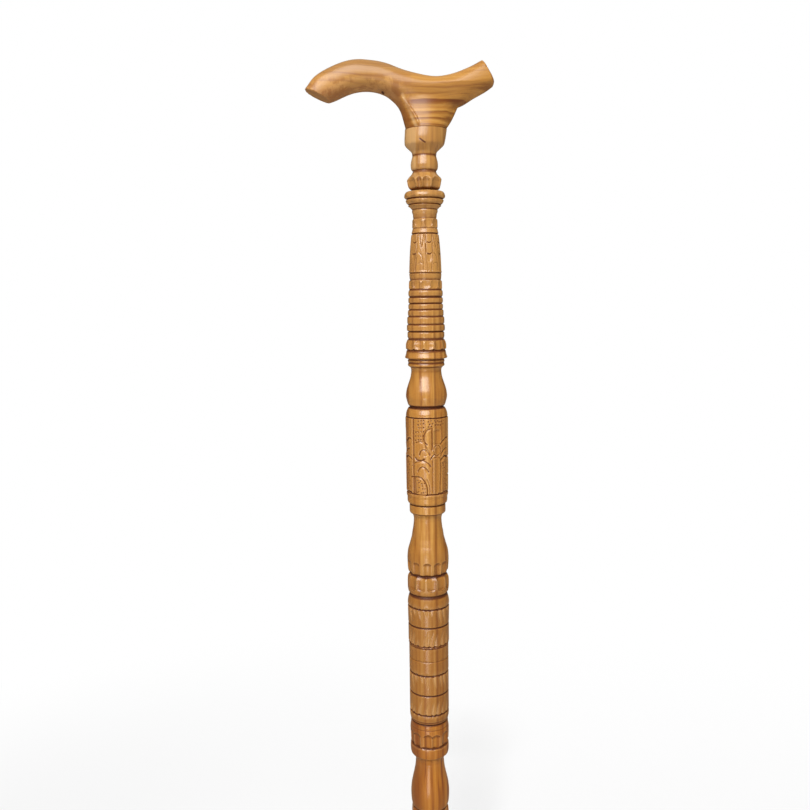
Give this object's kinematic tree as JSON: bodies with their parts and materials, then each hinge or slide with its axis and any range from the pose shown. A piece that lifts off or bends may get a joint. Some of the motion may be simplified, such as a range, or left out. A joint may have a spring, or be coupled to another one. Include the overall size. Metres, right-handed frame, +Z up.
{
  "type": "walking stick",
  "caption": "Carved wooden walking stick with a derby handle, turned beads, ribs and bands, a shaft that unscrews at half length and a rubber tip.",
  "frame": {"origin": "middle of the rubber tip's ground face, on the shaft's axis", "axes": "+Z up along the shaft towards the handle, -X towards the handle's nose, +X towards its tail, so the picture looks along +Y"},
  "size_m": [0.1224, 0.036, 0.9133],
  "materials": {
    "handle_wood": "lacquered, grain along the grip",
    "upper_wood": "lacquered, upright grain, scorched grooves",
    "lower_wood": "lacquered, upright grain, scorched grooves",
    "steel": "machined",
    "brass": "machined",
    "rubber": "matt"
  },
  "bodies": {
    "tip": {"ferrule": "rubber", "ferrule_disc": "steel"},
    "lower_section": {"lower_shaft": "lower_wood", "lower_insert": "brass"},
    "stud": {"joint_stud": "steel"},
    "upper_section": {"upper_shaft": "upper_wood", "upper_insert": "brass", "handle_stud": "steel", "handle": "handle_wood"}
  },
  "joints": [
    {"name": "tip_pull", "type": "slide", "parent": "tip", "child": "lower_section", "axis": [0, 0, 1], "range_m": [0, 0.027]},
    {"name": "section_lift", "type": "slide", "parent": "lower_section", "child": "stud", "axis": [0, 0, 1], "range_m": [0, 0.0195]},
    {"name": "section_twist", "type": "hinge", "parent": "stud", "child": "upper_section", "pos_m": [0, 0, 0.46415], "axis": [0, 0, 1], "range_deg": [0, 4680]}
  ],
  "couplings": [
    {"joint": "section_lift", "follows": "section_twist", "m_per_rad": 0.00023873}
  ]
}
